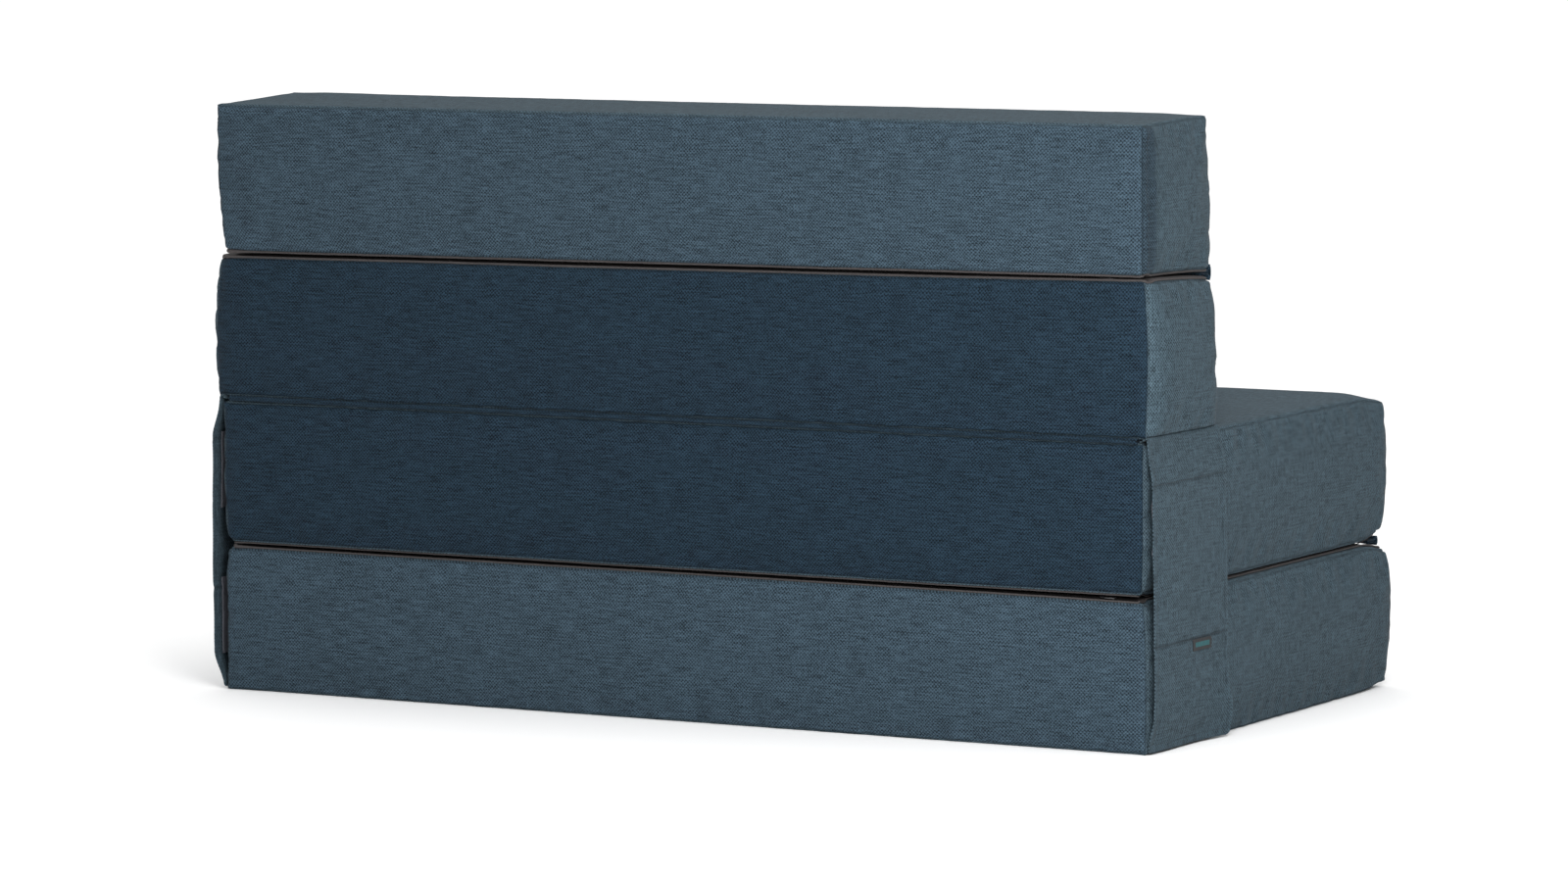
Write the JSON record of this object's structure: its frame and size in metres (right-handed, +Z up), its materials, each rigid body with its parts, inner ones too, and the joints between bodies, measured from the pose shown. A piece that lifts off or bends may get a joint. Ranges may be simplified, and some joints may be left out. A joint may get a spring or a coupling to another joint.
{
  "type": "folding futon mattress",
  "caption": "Fold-out foam mattress stacked as a two-seat sofa: hinged slabs and back blocks in zipped fabric covers, with side flaps that tie the back to the seat.",
  "frame": {"origin": "on the floor, under the centre of the folded sofa", "axes": "+Z up, +X across the width towards the sitter's left, the seat faces -Y and the back is at +Y"},
  "size_m": [1.4159, 0.7284, 0.8],
  "materials": {
    "fabric_light": "matte",
    "fabric_dark": "matte",
    "lining": "matte",
    "foam": "matte",
    "zip": "matte",
    "slider": "satin",
    "loop_pad": "matte",
    "hook_pad": "matte",
    "label": "satin"
  },
  "bodies": {
    "seat_slab": {"seat_slab_core": "foam", "seat_slab_cover": "fabric_light", "seat_slab_rear_panel": "fabric_dark", "seat_slab_lining": "lining", "seat_slab_zip": "zip", "seat_hinge_upper_leaf": "lining", "back_hinge_lower_leaf": "fabric_dark", "left_loop_pad_upper": "loop_pad", "right_loop_pad_upper": "loop_pad"},
    "base_slab": {"base_slab_core": "foam", "base_slab_cover": "fabric_light", "base_slab_lining": "lining", "base_slab_zip": "zip", "seat_hinge_lower_leaf": "lining", "left_loop_pad_lower": "loop_pad", "right_loop_pad_lower": "loop_pad"},
    "back_block": {"back_block_core": "foam", "back_block_cover": "fabric_light", "back_block_rear_panel": "fabric_dark", "back_block_lining": "lining", "back_block_zip": "zip", "back_hinge_upper_leaf": "fabric_dark", "head_hinge_lower_leaf": "lining"},
    "head_block": {"head_block_core": "foam", "head_block_cover": "fabric_light", "head_block_lining": "lining", "head_block_zip": "zip", "head_hinge_upper_leaf": "lining"},
    "left_flap": {"left_side_flap": "fabric_light", "left_hook_pad_lower": "hook_pad", "left_hook_pad_upper": "hook_pad"},
    "right_flap": {"right_side_flap": "fabric_light", "right_hook_pad_lower": "hook_pad", "right_hook_pad_upper": "hook_pad", "care_label": "label"},
    "base_slider": {"base_slab_zip_slider": "slider"},
    "seat_slider": {"seat_slab_zip_slider": "slider"},
    "back_slider": {"back_block_zip_slider": "slider"},
    "head_slider": {"head_block_zip_slider": "slider"}
  },
  "joints": [
    {"name": "base_fold", "type": "hinge", "parent": "seat_slab", "child": "base_slab", "pos_m": [0, -0.3645, 0.199], "axis": [-1, 0, 0], "range_deg": [0, 180]},
    {"name": "back_fold", "type": "hinge", "parent": "seat_slab", "child": "back_block", "pos_m": [0, 0.3645, 0.4], "axis": [-1, 0, 0], "range_deg": [0, 180]},
    {"name": "head_fold", "type": "hinge", "parent": "back_block", "child": "head_block", "pos_m": [0, 0.1605, 0.601], "axis": [1, 0, 0], "range_deg": [0, 180]},
    {"name": "left_flap_swing", "type": "hinge", "parent": "back_block", "child": "left_flap", "pos_m": [0.7061, 0.26, 0.4], "axis": [0, -1, 0], "range_deg": [0, 135]},
    {"name": "right_flap_swing", "type": "hinge", "parent": "back_block", "child": "right_flap", "pos_m": [-0.7061, 0.26, 0.4], "axis": [0, 1, 0], "range_deg": [0, 135]},
    {"name": "base_zip_slide", "type": "slide", "parent": "base_slab", "child": "base_slider", "axis": [1, 0, 0], "range_m": [0, 1.28]},
    {"name": "seat_zip_slide", "type": "slide", "parent": "seat_slab", "child": "seat_slider", "axis": [-1, 0, 0], "range_m": [0, 1.28]},
    {"name": "back_zip_slide", "type": "slide", "parent": "back_block", "child": "back_slider", "axis": [1, 0, 0], "range_m": [0, 1.28]},
    {"name": "head_zip_slide", "type": "slide", "parent": "head_block", "child": "head_slider", "axis": [-1, 0, 0], "range_m": [0, 1.28]}
  ]
}
